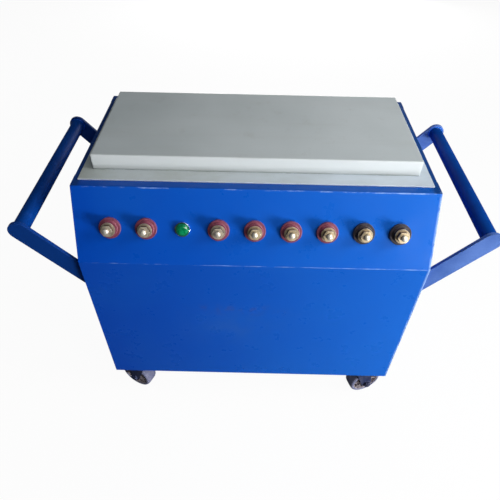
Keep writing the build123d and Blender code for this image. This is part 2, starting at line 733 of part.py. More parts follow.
def main():
    os.makedirs("parts", exist_ok=True)
    studs = stud_stations()
    red = [number for number in studs if number not in BLACK_STATIONS]
    nodes = {
        "front_panel": front_panel(),
        "left_side_panel": side_panel(-1),
        "right_side_panel": side_panel(1),
        "rear_panel": rear_panel(),
        "base_plate": base_plate(),
        "deck_plate": deck_plate(),
        "panel_screws": panel_screws(),
        "top_cover": top_cover(),
        "cover_hinge_leaves": cover_hinge_leaves(),
        "frame_hinge_leaves": frame_hinge_leaves(),
        "hinge_pins": hinge_pins(),
        "left_handle_arms": handle_arms(-1),
        "left_handle_grip": handle_grip(-1),
        "right_handle_arms": handle_arms(1),
        "right_handle_grip": handle_grip(1),
        "castor_top_plates": castor_top_plates(),
        "castor_bolts": castor_bolts(),
        "terminal_studs": on_stations(terminal_stud(), studs),
        "red_insulators": on_stations(insulator(), red),
        "black_insulators": on_stations(insulator(), BLACK_STATIONS),
        "rear_insulators": on_stations(rear_insulator(), studs),
        "fixed_terminal_nuts": fixed_terminal_nuts(),
        "lamp_bezel": station(LAMP_STATION) * lamp_bezel(),
        "lamp_lens": station(LAMP_STATION) * lamp_lens(),
        "lamp_body": lamp_body(),
        "toroid_cores": toroid_cores(),
        "windings": windings(),
        "stack_plates": stack_plates(),
        "tie_rods": tie_rods(),
        "shaft_bushes": shaft_bushes(),
        "main_shaft": main_shaft(),
        "brush_arms": brush_arms(),
        "carbon_brushes": carbon_brushes(),
        "control_knob": control_knob(),
        "dial_plate": dial_plate(),
        "phase_leads": phase_leads(),
    }
    for name in CASTORS:
        nodes[f"{name}_castor_fork"] = castor_fork(name)
        nodes[f"{name}_castor_wheel"] = castor_wheel(name)
    for count, number in enumerate(studs, start=1):
        nodes[f"clamp_washer_{count}"] = station(number) * clamp_washer()
        nodes[f"clamp_nut_{count}"] = station(number) * clamp_nut()
    for name, shape in nodes.items():
        write(name, shape)


main()
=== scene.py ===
import json
import math
import random

import bmesh
import bpy
from mathutils import Matrix, Vector, noise


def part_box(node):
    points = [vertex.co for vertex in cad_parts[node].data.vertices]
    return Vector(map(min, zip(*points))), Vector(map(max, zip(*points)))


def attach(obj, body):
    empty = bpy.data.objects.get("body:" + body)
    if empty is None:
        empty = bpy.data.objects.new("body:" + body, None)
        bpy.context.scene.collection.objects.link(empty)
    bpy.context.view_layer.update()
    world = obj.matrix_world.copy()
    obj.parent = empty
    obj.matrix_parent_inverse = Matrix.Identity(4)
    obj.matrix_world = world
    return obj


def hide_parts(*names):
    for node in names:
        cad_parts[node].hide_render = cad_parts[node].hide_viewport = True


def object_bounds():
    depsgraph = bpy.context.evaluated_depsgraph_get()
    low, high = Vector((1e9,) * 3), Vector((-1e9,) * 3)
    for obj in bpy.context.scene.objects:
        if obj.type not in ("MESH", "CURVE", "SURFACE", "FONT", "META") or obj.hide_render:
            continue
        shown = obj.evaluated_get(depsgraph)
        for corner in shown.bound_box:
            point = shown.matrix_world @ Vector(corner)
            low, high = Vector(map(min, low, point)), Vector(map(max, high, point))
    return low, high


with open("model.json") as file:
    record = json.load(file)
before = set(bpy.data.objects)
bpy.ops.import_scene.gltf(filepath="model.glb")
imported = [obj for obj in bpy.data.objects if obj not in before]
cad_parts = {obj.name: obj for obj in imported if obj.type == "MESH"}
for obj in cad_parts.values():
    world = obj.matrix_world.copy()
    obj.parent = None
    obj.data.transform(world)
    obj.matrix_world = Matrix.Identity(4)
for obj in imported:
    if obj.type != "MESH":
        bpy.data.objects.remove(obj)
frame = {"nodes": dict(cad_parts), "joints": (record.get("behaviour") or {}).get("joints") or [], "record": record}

NODES = frame["nodes"]
RECORD = frame["record"]
CAD_BOX = [list(corner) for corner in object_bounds()]
MM = 0.001
TAU = 2 * math.pi
MOUNTS = {mount["name"]: mount for mount in RECORD["mounts"]}
OUTWARD = Vector(MOUNTS["terminal_1"]["axis"]).normalized()
STATION_MIDDLE = Vector(MOUNTS["terminal_1"]["pos_m"])
STATION_PITCH = 60 * MM
FREE_TIP_MIDDLE = 25.55 * MM     # heights of a terminal's parts, out from the panel
WASHER_FOOT = 13.0 * MM
NUT_FOOT = 14.7 * MM
NUT_FACE = 22.6 * MM
STUD_TIP = 26.0 * MM
CREASE_H = 345 * MM              # crease above the cabinet's underside
COVER_FLANGE = 28 * MM           # the cover's flat front flange
PLATED = (0.80, 0.70, 0.54)      # colour of the plated fittings among the brass ones


# ---- materials ---------------------------------------------------------------
class Finish:
    """A Principled material with short calls for its nodes. Lengths are in metres."""

    def __init__(self, name, **sockets):
        self.material = bpy.data.materials.new(name)
        self.material.use_nodes = True
        self.tree = self.material.node_tree
        self.shader = self.tree.nodes["Principled BSDF"]
        self.place = self.add("ShaderNodeTexCoord").outputs["Object"]
        for socket, value in sockets.items():
            self.shader.inputs[socket.replace("_", " ")].default_value = value

    def add(self, kind, **settings):
        node = self.tree.nodes.new(kind)
        for name, value in settings.items():
            setattr(node, name, value)
        return node

    def put(self, socket, value):
        """Links an output to a socket, or sets the socket to a plain value."""
        if isinstance(value, bpy.types.NodeSocket):
            self.tree.links.new(value, socket)
        else:
            socket.default_value = value

    def noise(self, scale, detail=2.0, roughness=0.5, stretch=None, distortion=0.0):
        node = self.add("ShaderNodeTexNoise")
        node.inputs["Scale"].default_value = scale
        node.inputs["Detail"].default_value = detail
        node.inputs["Roughness"].default_value = roughness
        node.inputs["Distortion"].default_value = distortion
        self.put(node.inputs["Vector"], self.stretched(stretch) if stretch else self.place)
        return node.outputs["Fac"]

    def stretched(self, scale):
        node = self.add("ShaderNodeMapping")
        node.inputs["Scale"].default_value = scale
        self.put(node.inputs["Vector"], self.place)
        return node.outputs["Vector"]

    def cells(self, scale):
        """Distance to the nearest of a scatter of points."""
        node = self.add("ShaderNodeTexVoronoi", feature="F1")
        node.inputs["Scale"].default_value = scale
        self.put(node.inputs["Vector"], self.place)
        return node.outputs["Distance"]

    def axis(self, name):
        node = self.add("ShaderNodeSeparateXYZ")
        self.put(node.inputs[0], self.place)
        return node.outputs[name]

    def span(self, value, low, high, to_low=0.0, to_high=1.0):
        """Maps low..high to to_low..to_high, held at the ends."""
        node = self.add("ShaderNodeMapRange", clamp=True)
        self.put(node.inputs["Value"], value)
        node.inputs["From Min"].default_value = low
        node.inputs["From Max"].default_value = high
        node.inputs["To Min"].default_value = to_low
        node.inputs["To Max"].default_value = to_high
        return node.outputs["Result"]

    def maths(self, operation, a, b=0.0):
        node = self.add("ShaderNodeMath", operation=operation)
        self.put(node.inputs[0], a)
        self.put(node.inputs[1], b)
        return node.outputs[0]

    def times(self, *values):
        total = values[0]
        for value in values[1:]:
            total = self.maths("MULTIPLY", total, value)
        return total

    def mix(self, fac, a, b):
        node = self.add("ShaderNodeMix", data_type="RGBA")
        self.put(node.inputs["Factor"], fac)
        for socket, value in zip([s for s in node.inputs if s.type == "RGBA"], (a, b)):
            self.put(socket, value if isinstance(value, bpy.types.NodeSocket) else (*value, 1.0))
        return [s for s in node.outputs if s.type == "RGBA"][0]

    def facing(self, name):
        """How far the surface faces along a world axis, -1 to 1."""
        node = self.add("ShaderNodeSeparateXYZ")
        self.put(node.inputs[0], self.add("ShaderNodeNewGeometry").outputs["Normal"])
        return node.outputs[name]

    def edge(self, radius):
        """0 on faces, towards 1 within a radius of a real edge."""
        bevel = self.add("ShaderNodeBevel", samples=6)
        bevel.inputs["Radius"].default_value = radius
        dot = self.add("ShaderNodeVectorMath", operation="DOT_PRODUCT")
        self.put(dot.inputs[0], bevel.outputs["Normal"])
        self.put(dot.inputs[1], self.add("ShaderNodeNewGeometry").outputs["Normal"])
        return self.span(dot.outputs["Value"], 0.995, 0.86)

    def bump(self, *layers, soften=None):
        """Each layer is (height, distance); soften rounds the sharp edges by that radius."""
        normal = None
        if soften:
            bevel = self.add("ShaderNodeBevel", samples=6)
            bevel.inputs["Radius"].default_value = soften
            normal = bevel.outputs["Normal"]
        for height, distance in layers:
            node = self.add("ShaderNodeBump")
            node.inputs["Strength"].default_value = 1.0
            node.inputs["Distance"].default_value = distance
            self.put(node.inputs["Height"], height)
            if normal:
                self.put(node.inputs["Normal"], normal)
            normal = node.outputs["Normal"]
        self.put(self.shader.inputs["Normal"], normal)

    def colour(self, value):
        self.put(self.shader.inputs["Base Color"], value)

    def roughness(self, value):
        self.put(self.shader.inputs["Roughness"], value)


def near(finish, axis, at, width):
    """1 at a coordinate, falling to 0 a width away."""
    away = finish.maths("ABSOLUTE", finish.maths("SUBTRACT", finish.axis(axis), at))
    return finish.span(away, width, 0.0)


def worn_line(f, axis, at, width, speck, low, high, most):
    """A thin pale line at a coordinate, broken up where the speckle is weak: rubbed paint with a painted
    highlight.
    """
    return f.times(near(f, axis, at, width), f.span(speck, low, high, 0.0, most))


def blue_enamel():
    """The cabinet: blue gloss, painted lighter to the right where the light falls, with painted shade on the rim,
    rubbed along the front's folds with a painted highlight.
    """
    f = Finish("blue_enamel", Specular_IOR_Level=0.22, Coat_Weight=0.06, Coat_Roughness=0.15)
    panel_low, panel_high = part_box("front_panel")
    x, y, z = f.axis("X"), f.axis("Y"), f.axis("Z")
    # painted light: darker on the left side and lighter to the right, where the light falls, with a little random
    # tone
    light_from_right = f.maths("ADD", f.span(x, -0.30, 0.30), f.span(f.noise(3.2, 2.0), 0.3, 0.7, -0.10, 0.10))
    paint = f.mix(light_from_right, (0.0008, 0.062, 0.45), (0.0070, 0.122, 0.57))
    paint = f.mix(f.span(f.noise(7.0, 3.0, 0.5), 0.50, 0.80, 0.0, 0.25), paint, (0.008, 0.112, 0.50))
    # faint rusty hand marks across the middle of the front, with a wiped haze under them
    middle = f.times(near(f, "X", -0.03, 0.13), f.span(y, panel_low.y + 0.003, panel_low.y + 0.001))
    marks = f.span(f.noise(55.0, 4.0, 0.65), 0.52, 0.68)
    marks = f.times(middle, near(f, "Z", panel_low.z + 0.225, 0.022), marks)
    paint = f.mix(f.times(marks, 0.40), paint, (0.10, 0.05, 0.12))
    haze = f.span(f.noise(18.0, 4.0, 0.6), 0.42, 0.62)
    haze = f.times(middle, near(f, "Z", panel_low.z + 0.170, 0.075), haze)
    paint = f.mix(f.times(haze, 0.20), paint, (0.05, 0.13, 0.38))
    # painted shade: the rim round the cover is darkened, most of all along the sides, where it lies in shade
    flat_top = f.span(z, panel_high.z - 0.0010, panel_high.z - 0.0003)
    outer = f.span(f.maths("ABSOLUTE", x), panel_high.x - 0.016, panel_high.x - 0.010, 0.30, 0.78)
    paint = f.mix(f.times(flat_top, outer), paint, (0.006, 0.030, 0.115))
    # paint rubbed off the front's folds and its right-hand edge, with a painted highlight along them that grows
    # towards the lit right
    speck = f.noise(110.0, 4.0, 0.62, stretch=(0.35, 1.0, 1.0))
    speck = f.maths("ADD", speck, f.span(x, -0.30, 0.30, -0.06, 0.10))
    front = f.span(y, panel_low.y + 0.0600, panel_low.y + 0.0590)
    crease = worn_line(f, "Z", panel_low.z + CREASE_H, 0.0014, speck, 0.44, 0.70, 0.50)
    rim = worn_line(f, "Z", panel_high.z - 0.0014, 0.0012, speck, 0.50, 0.66, 0.70)
    upright_speck = f.noise(90.0, 4.0, 0.62, stretch=(1.0, 1.0, 0.3))
    upright_speck = f.maths("ADD", upright_speck, f.span(x, 0.0, 0.30, -0.20, 0.05))
    side = worn_line(f, "X", panel_high.x, 0.0040, upright_speck, 0.36, 0.52, 0.70)
    forward = f.span(f.maths("ABSOLUTE", f.facing("X")), 0.90, 0.60)
    chips = f.times(f.edge(0.0012), f.span(f.noise(70.0, 4.0, 0.65), 0.62, 0.66, 0.0, 0.7))
    folds = f.times(front, forward, f.maths("MAXIMUM", crease, f.maths("MAXIMUM", rim, side)))
    wear_and_highlight = f.maths("MAXIMUM", chips, folds)
    paint = f.mix(wear_and_highlight, paint, (0.42, 0.60, 0.86))
    dust = f.times(f.span(f.cells(420.0), 0.14, 0.05), f.span(f.noise(35.0), 0.50, 0.80))
    paint = f.mix(f.times(dust, 0.30), paint, (0.16, 0.26, 0.62))
    f.colour(paint)
    rough = f.span(f.noise(22.0, 5.0, 0.65), 0.3, 0.75, 0.24, 0.40)
    f.roughness(f.maths("ADD", rough, f.times(wear_and_highlight, 0.35)))
    f.bump(
        (f.noise(330.0, 2.0, 0.45), 0.00004),
        (f.noise(9.0, 2.0), 0.0003),
        (wear_and_highlight, -0.00010),
        soften=0.0007,
    )
    return f.material


def bar_enamel():
    """The handles' flat arms: the same blue, painted dark on the left and periwinkle on the right as light from
    the right, chalked and scuffed.
    """
    f = Finish("bar_enamel", Specular_IOR_Level=0.05)
    # painted light: the arms are painted lighter from left to right, for the light from the right; the noise adds
    # chalky tone
    arm_light_from_right = f.span(f.axis("X"), -0.30, 0.38, 0.02, 1.0)
    light_and_chalk = f.times(arm_light_from_right, f.span(f.noise(16.0, 4.0, 0.6), 0.3, 0.7, 0.55, 1.0))
    paint = f.mix(light_and_chalk, (0.0020, 0.036, 0.21), (0.095, 0.185, 0.50))
    # scuffs and rubbed edges are weighted by the same painted light, so they show mostly on the lit right
    scuffs = f.noise(120.0, 4.0, 0.6, stretch=(0.3, 1.0, 1.4))
    paint = f.mix(f.times(arm_light_from_right, f.span(scuffs, 0.56, 0.70, 0.0, 0.25)), paint, (0.14, 0.23, 0.52))
    rubbed = f.span(f.noise(60.0, 4.0, 0.65), 0.42, 0.60, 0.10, 0.50)
    worn = f.times(f.edge(0.0014), rubbed, f.span(arm_light_from_right, 0.0, 1.0, 0.12, 1.0))
    paint = f.mix(worn, paint, (0.30, 0.40, 0.70))
    f.colour(paint)
    f.roughness(f.span(f.noise(40.0, 5.0, 0.65), 0.3, 0.75, 0.42, 0.62))
    f.bump((f.noise(260.0, 3.0, 0.5), 0.00006), (scuffs, 0.00004), soften=0.0008)
    return f.material


def grip_enamel():
    """The grip tubes: dark where hands have left them greasy."""
    f = Finish("grip_enamel", Specular_IOR_Level=0.04)
    handled = f.span(f.noise(9.0, 4.0, 0.6), 0.35, 0.65)
    paint = f.mix(handled, (0.0012, 0.034, 0.200), (0.0022, 0.050, 0.280))
    rubbed = f.times(f.span(f.noise(45.0, 4.0, 0.65), 0.62, 0.74), 0.35)
    paint = f.mix(rubbed, paint, (0.030, 0.090, 0.36))
    f.colour(paint)
    f.roughness(f.span(f.noise(30.0, 5.0, 0.65), 0.3, 0.75, 0.34, 0.52))
    f.bump((f.noise(300.0, 2.0, 0.45), 0.00005), (f.noise(24.0, 2.0), 0.0002), soften=0.0008)
    return f.material


def castor_paint():
    """Brushed-on dark blue over pressed steel, dusty and chipped."""
    f = Finish("castor_paint", Specular_IOR_Level=0.35)
    paint = f.mix(f.span(f.noise(60.0, 4.0, 0.6), 0.35, 0.65), (0.010, 0.016, 0.055), (0.022, 0.034, 0.10))
    dust = f.times(f.span(f.noise(28.0, 4.0, 0.6), 0.48, 0.66), 0.35)
    paint = f.mix(dust, paint, (0.16, 0.15, 0.18))
    paint = f.mix(f.times(f.edge(0.0009), 0.45), paint, (0.26, 0.28, 0.42))
    f.colour(paint)
    f.roughness(f.span(f.noise(90.0, 4.0, 0.6), 0.3, 0.7, 0.38, 0.60))
    f.bump((f.noise(240.0, 3.0, 0.5), 0.00008), soften=0.0005)
    return f.material


def grey_enamel():
    """The cover: streaked and specked pale grey, with painted light on its folded front and flange, a painted
    highlight on the front lip and an olive-darkened angle.
    """
    f = Finish("grey_enamel", Coat_Weight=0.10, Coat_Roughness=0.25, Specular_IOR_Level=0.40)
    low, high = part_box("top_cover")
    paint = f.mix(f.span(f.noise(4.0, 3.0), 0.35, 0.65), (0.44, 0.490, 0.505), (0.52, 0.570, 0.590))
    streak = f.noise(10.0, 5.0, 0.6, stretch=(0.25, 2.2, 1.0))
    paint = f.mix(f.span(streak, 0.50, 0.80, 0.0, 0.30), paint, (0.40, 0.42, 0.41))
    # an olive darkening, broken up by noise, along the tray's foot and the flange
    olive = f.span(f.noise(24.0, 4.0, 0.6, stretch=(0.4, 1.0, 1.0)), 0.38, 0.62)
    foot = f.times(near(f, "Z", low.z + 0.002, 0.007), olive)
    paint = f.mix(f.times(foot, 0.45), paint, (0.30, 0.32, 0.26))
    grime = f.times(f.span(f.noise(26.0, 6.0, 0.7), 0.58, 0.74), 0.22)
    paint = f.mix(grime, paint, (0.30, 0.30, 0.28))
    specks = f.times(f.span(f.cells(150.0), 0.13, 0.05), f.span(f.noise(17.0), 0.57, 0.68))
    paint = f.mix(f.times(specks, 0.45), paint, (0.20, 0.20, 0.19))
    # painted light: the folded front is painted lighter than the top, for the light that falls on it
    above_flange = f.span(f.axis("Z"), low.z + 0.003, low.z + 0.006)
    folded_front = f.times(near(f, "Y", low.y + COVER_FLANGE, 0.004), above_flange)
    paint = f.mix(f.times(folded_front, 0.80), paint, (0.66, 0.70, 0.71))
    # painted light: the flange is painted bluish-white, growing towards the right
    flange = f.times(near(f, "Z", low.z + 0.0015, 0.0015), f.span(f.axis("X"), -0.15, 0.28))
    paint = f.mix(f.times(flange, 0.55), paint, (0.66, 0.78, 0.98))
    # painted highlight along the front lip, together with rubbed edges in the same pale colour
    lip = f.times(near(f, "Y", low.y, 0.0014), f.span(f.noise(70.0, 3.0), 0.25, 0.50, 0.45, 0.95))
    worn = f.times(f.edge(0.0014), f.span(f.noise(90.0, 4.0, 0.6), 0.50, 0.62), 0.55)
    paint = f.mix(f.maths("MAXIMUM", lip, worn), paint, (0.84, 0.90, 0.97))
    f.colour(paint)
    f.roughness(f.span(f.noise(30.0, 5.0, 0.65), 0.3, 0.75, 0.34, 0.52))
    f.bump((f.noise(420.0, 2.0, 0.45), 0.00006), (f.noise(9.0, 2.0), 0.0004), soften=0.0006)
    return f.material


def metal_finish(name, base, dark, bright, rough, tint=None, shine=1.0, depth=None):
    """Bare or plated metal: cloudy tarnish, rubbed edges and fine grain; depth adds its own bands of painted shade
    and painted highlight.
    """
    f = Finish(name, Metallic=shine)
    colour = base if tint is None else f.mix(tint(f), base, PLATED)
    if depth is not None:
        colour = depth(f, colour, dark, bright)
    colour = f.mix(f.span(f.noise(160.0, 4.0, 0.65), 0.48, 0.78, 0.0, 0.65), colour, dark)
    colour = f.mix(f.times(f.edge(0.0006), 0.85), colour, bright)
    f.colour(colour)
    f.roughness(f.span(f.noise(240.0, 5.0, 0.7), 0.30, 0.72, rough * 0.75, rough * 1.35))
    f.bump((f.noise(900.0, 3.0, 0.6), 0.00002), (f.noise(130.0, 2.0), 0.00006), soften=0.00025)
    return f.material


def stacked(f, colour, dark, bright):
    """Painted shade below the washer, lightly on the washer, on the nut's sides and along the thread, with the nut
    face left bright and a painted highlight on the tip.
    """
    along = f.add("ShaderNodeVectorMath", operation="DOT_PRODUCT")
    f.put(along.inputs[0], f.place)
    along.inputs[1].default_value = OUTWARD
    height = f.maths("SUBTRACT", along.outputs["Value"], STATION_MIDDLE.dot(OUTWARD) - FREE_TIP_MIDDLE)
    step = 0.2 * MM
    below = f.span(height, WASHER_FOOT, WASHER_FOOT - step)
    washer = f.span(height, NUT_FOOT + step, NUT_FOOT, 0.0, 0.35)
    above_foot = f.span(height, NUT_FOOT, NUT_FOOT + step)
    nut_sides = f.times(above_foot, f.span(height, NUT_FACE, NUT_FACE - 3 * step))
    thread_foot = f.span(height, NUT_FACE + 1.5 * step, NUT_FACE + 2.5 * step)
    thread = f.times(thread_foot, f.span(height, STUD_TIP + 2 * step, STUD_TIP - 2 * step))
    shaded = f.maths("MAXIMUM", f.maths("MAXIMUM", below, washer), f.maths("MAXIMUM", nut_sides, thread))
    colour = f.mix(shaded, colour, dark)
    # painted highlight on the stud's domed tip
    return f.mix(f.span(height, STUD_TIP, STUD_TIP + 2 * MM, 0.0, 0.9), colour, bright)


def tinned_stations(f):
    """The first, second and fourth stations have plated fittings."""
    x = f.axis("X")
    past_second, before_fourth, past_fourth = (gap * STATION_PITCH for gap in (-2.5, -1.5, -0.5))
    first_two = f.span(x, past_second + MM, past_second - MM)
    fourth = f.span(x, before_fourth - MM, before_fourth + MM)
    fourth = f.times(fourth, f.span(x, past_fourth + MM, past_fourth - MM))
    return f.maths("MAXIMUM", first_two, fourth)


def bakelite(name, base, flow, edge):
    """Moulded phenolic: flow marks in the body and paler rubbed edges."""
    f = Finish(name, Coat_Weight=0.25, Coat_Roughness=0.2)
    colour = f.mix(f.span(f.noise(150.0, 5.0, 0.65, distortion=1.2), 0.38, 0.66), base, flow)
    colour = f.mix(f.times(f.edge(0.0012), f.span(f.noise(120.0, 3.0), 0.35, 0.6, 0.25, 0.8)), colour, edge)
    f.colour(colour)
    f.roughness(f.span(f.noise(200.0, 4.0, 0.6), 0.3, 0.7, 0.30, 0.50))
    f.bump((f.noise(1100.0, 2.0), 0.00003), (f.noise(180.0, 2.0), 0.00005), soften=0.0004)
    return f.material


def green_lens():
    """Green glass, a little cloudy, faintly lit from behind."""
    f = Finish("green_lens", Transmission_Weight=0.15, IOR=1.52, Emission_Strength=0.04, Coat_Weight=0.15)
    f.shader.inputs["Emission Color"].default_value = (0.0, 0.55, 0.20, 1.0)
    f.colour(f.mix(f.span(f.noise(220.0, 2.0), 0.4, 0.65), (0.0, 0.13, 0.040), (0.004, 0.29, 0.11)))
    f.roughness(f.span(f.noise(300.0), 0.3, 0.7, 0.05, 0.14))
    f.bump((f.noise(500.0, 2.0), 0.00002))
    return f.material


def plain_stock(name, base, other, rough, scale=120.0, relief=0.00006, stretch=None, metallic=0.0):
    """Inner materials: two tones mixed by grain, with matching relief."""
    f = Finish(name, Metallic=metallic)
    grain = f.noise(scale, 5.0, 0.62, stretch=stretch)
    colour = f.mix(f.span(grain, 0.36, 0.66), base, other)
    colour = f.mix(f.times(f.edge(0.0008), 0.35), colour, [min(1.0, c * 1.7 + 0.03) for c in base])
    f.colour(colour)
    f.roughness(f.span(f.noise(scale * 1.6, 4.0), 0.3, 0.7, rough * 0.8, min(1.0, rough * 1.25)))
    f.bump((grain, relief), (f.noise(scale * 6, 2.0), relief * 0.4), soften=0.0003)
    return f.material


MATERIALS = {
    "blue_enamel": blue_enamel(),
    "grey_enamel": grey_enamel(),
    "zinc_plate": metal_finish(
        "zinc_plate", (0.62, 0.63, 0.64), (0.36, 0.37, 0.38), (0.85, 0.86, 0.87), 0.34
    ),
    "terminal_brass": metal_finish(
        "terminal_brass", (0.90, 0.72, 0.46), (0.115, 0.070, 0.040), (1.0, 0.95, 0.82), 0.36,
        tint=tinned_stations, shine=0.62, depth=stacked,
    ),
    "red_bakelite": bakelite("red_bakelite", (0.18, 0.038, 0.068), (0.27, 0.066, 0.105), (0.50, 0.24, 0.31)),
    "black_bakelite": bakelite(
        "black_bakelite", (0.016, 0.014, 0.018), (0.046, 0.030, 0.040), (0.16, 0.13, 0.15)
    ),
    "green_lens": green_lens(),
    "lamp_chrome": metal_finish(
        "lamp_chrome", (0.74, 0.78, 0.80), (0.50, 0.53, 0.55), (0.95, 0.97, 0.98), 0.14
    ),
    "core_steel": plain_stock(
        "core_steel", (0.20, 0.21, 0.23), (0.34, 0.35, 0.37), 0.42, 240.0, 0.00008, (0.2, 0.2, 8.0), 1.0
    ),
    "enamelled_copper": plain_stock(
        "enamelled_copper", (0.42, 0.115, 0.035), (0.58, 0.20, 0.07), 0.26, 160.0, 0.00003, None, 0.85
    ),
    "insulating_board": plain_stock(
        "insulating_board", (0.30, 0.150, 0.055), (0.20, 0.090, 0.030), 0.48, 90.0, 0.00008, (0.3, 1.6, 6.0)
    ),
    "arm_aluminium": metal_finish(
        "arm_aluminium", (0.72, 0.73, 0.74), (0.50, 0.51, 0.52), (0.9, 0.9, 0.9), 0.40
    ),
    "dial_aluminium": metal_finish(
        "dial_aluminium", (0.78, 0.79, 0.80), (0.64, 0.65, 0.66), (0.95, 0.95, 0.95), 0.36
    ),
    "carbon": plain_stock("carbon", (0.018, 0.018, 0.019), (0.045, 0.045, 0.047), 0.55, 500.0, 0.00005),
    "lead_sheath": plain_stock(
        "lead_sheath", (0.020, 0.020, 0.022), (0.045, 0.044, 0.046), 0.50, 260.0, 0.00005
    ),
    "castor_polymer": plain_stock(
        "castor_polymer", (0.24, 0.21, 0.235), (0.33, 0.29, 0.31), 0.55, 140.0, 0.00010
    ),
    "castor_paint": castor_paint(),
}
TYRE = plain_stock("castor_tyre", (0.15, 0.165, 0.29), (0.22, 0.225, 0.34), 0.62, 90.0, 0.00012)
DIAL_INK = plain_stock("dial_ink", (0.012, 0.012, 0.013), (0.030, 0.030, 0.032), 0.45, 700.0, 0.00001)
CORNERS = ("front_left", "front_right", "rear_left", "rear_right")
OWN_LOOK = {}
for side in ("left", "right"):
    OWN_LOOK[f"{side}_handle_arms"] = bar_enamel()
    OWN_LOOK[f"{side}_handle_grip"] = grip_enamel()
for corner in CORNERS:
    OWN_LOOK[f"{corner}_castor_fork"] = MATERIALS["castor_paint"]
for name, node in NODES.items():
    for held in node.material_slots:
        held.material = OWN_LOOK.get(name) or MATERIALS[held.material.name.split(".")[0]]


# ---- mesh helpers -------------------------------------------------------------
def finish_piece(name, bm, body, slot, sharp=32.0, replaces=(), material=None):
    """Turns a bmesh into a piece that rides on a body and wears a slot's material."""
    bmesh.ops.recalc_face_normals(bm, faces=bm.faces)
    mesh = bpy.data.meshes.new(name)
    bm.to_mesh(mesh)
    bm.free()
    for face in mesh.polygons:
        face.use_smooth = True
    mesh.set_sharp_from_angle(angle=math.radians(sharp))
    mesh.materials.append(material or MATERIALS[slot])
    piece = bpy.data.objects.new(name, mesh)
    bpy.context.scene.collection.objects.link(piece)
    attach(piece, body)
    if replaces:
        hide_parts(*replaces)
    return piece


def upright(origin, outward, sideways=(1, 0, 0)):
    """A local frame whose Z points outward and whose X is as near sideways as it can be."""
    z = Vector(outward).normalized()
    y = z.cross(Vector(sideways)).normalized()
    x = y.cross(z)
    turn = Matrix((x, y, z)).transposed().to_4x4()
    return Matrix.Translation(Vector(origin)) @ turn


def skin(bm, rings, place, closed_ends=True, loop=False):
    """Quads between rings of equal length, with fans over the first and last ring."""
    rows = [[bm.verts.new(place @ Vector(point)) for point in ring] for ring in rings]
    pairs = list(zip(rows, rows[1:]))
    if loop:
        pairs.append((rows[-1], rows[0]))
    count = len(rows[0])
    for a, b in pairs:
        for i in range(count):
            j = (i + 1) % count
            bm.faces.new((a[i], a[j], b[j], b[i]))
    if closed_ends and not loop:
        bm.faces.new(rows[0][::-1])
        bm.faces.new(rows[-1])
    return rows


def circle(radius, z, count, phase=0.0):
    return [
        (radius * math.cos(TAU * i / count + phase), radius * math.sin(TAU * i / count + phase), z)
        for i in range(count)
    ]


def lathe(bm, profile, place, count=48, loop=False):
    """Turns (radius, z) points round the local Z axis."""
    skin(bm, [circle(r, z, count) for r, z in profile], place, loop=loop)


def bead(bm, path, radius, place=Matrix(), count=8, ripple=0.16, pitch=0.0026, seed=0.0):
    """A weld bead: a closed tube along a closed path, rippled like laid metal."""
    total = len(path)
    length = sum((Vector(path[i]) - Vector(path[i - 1])).length for i in range(total))
    waves = max(3, round(length / pitch))
    rings = []
    run = 0.0
    for i in range(total):
        here = Vector(path[i])
        along = (Vector(path[(i + 1) % total]) - Vector(path[i - 1])).normalized()
        side = along.cross(Vector((0.31, 0.47, 0.83))).normalized()
        up = along.cross(side)
        phase = (run / length * waves) % 1.0
        swell = radius * (1 + ripple * (0.5 - phase) + 0.10 * noise.noise(here * 300 + Vector((seed, 0, 0))))
        ring = []
        for k in range(count):
            angle = TAU * k / count
            ring.append(here + (side * math.cos(angle) + up * math.sin(angle)) * swell)
        rings.append(ring)
        run += (Vector(path[(i + 1) % total]) - here).length
    # carry each ring's start on from the ring before, so that the tube doesn't twist
    for i in range(1, total):
        start = rings[i - 1][0]
        turn = min(range(count), key=lambda k: (rings[i][k] - start).length)
        rings[i] = rings[i][turn:] + rings[i][:turn]
    skin(bm, rings, place, loop=True)


def box_path(y0, y1, z0, z1, x, step=0.0006):
    """Points round a rectangle in a plane of constant x."""
    corners = [(y0, z0), (y1, z0), (y1, z1), (y0, z1)]
    points = []
    for i, (ya, za) in enumerate(corners):
        yb, zb = corners[(i + 1) % 4]
        count = max(2, round(math.hypot(yb - ya, zb - za) / step))
        for k in range(count):
            t = k / count
            points.append((x, ya + (yb - ya) * t, za + (zb - za) * t))
    return points


# ---- terminals ----------------------------------------------------------------
STUD_OUT = 29.0 * MM
STUD_IN = 30.0 * MM
STUD_R = 5.0 * MM
THREAD_PITCH = 1.5 * MM
THREAD_DEPTH = 0.75 * MM


def station(number):
    """Local frame of terminal 1..8, on the panel's surface."""
    middle = Vector(MOUNTS[f"terminal_{number}"]["pos_m"])
    return upright(middle - OUTWARD * FREE_TIP_MIDDLE, OUTWARD)


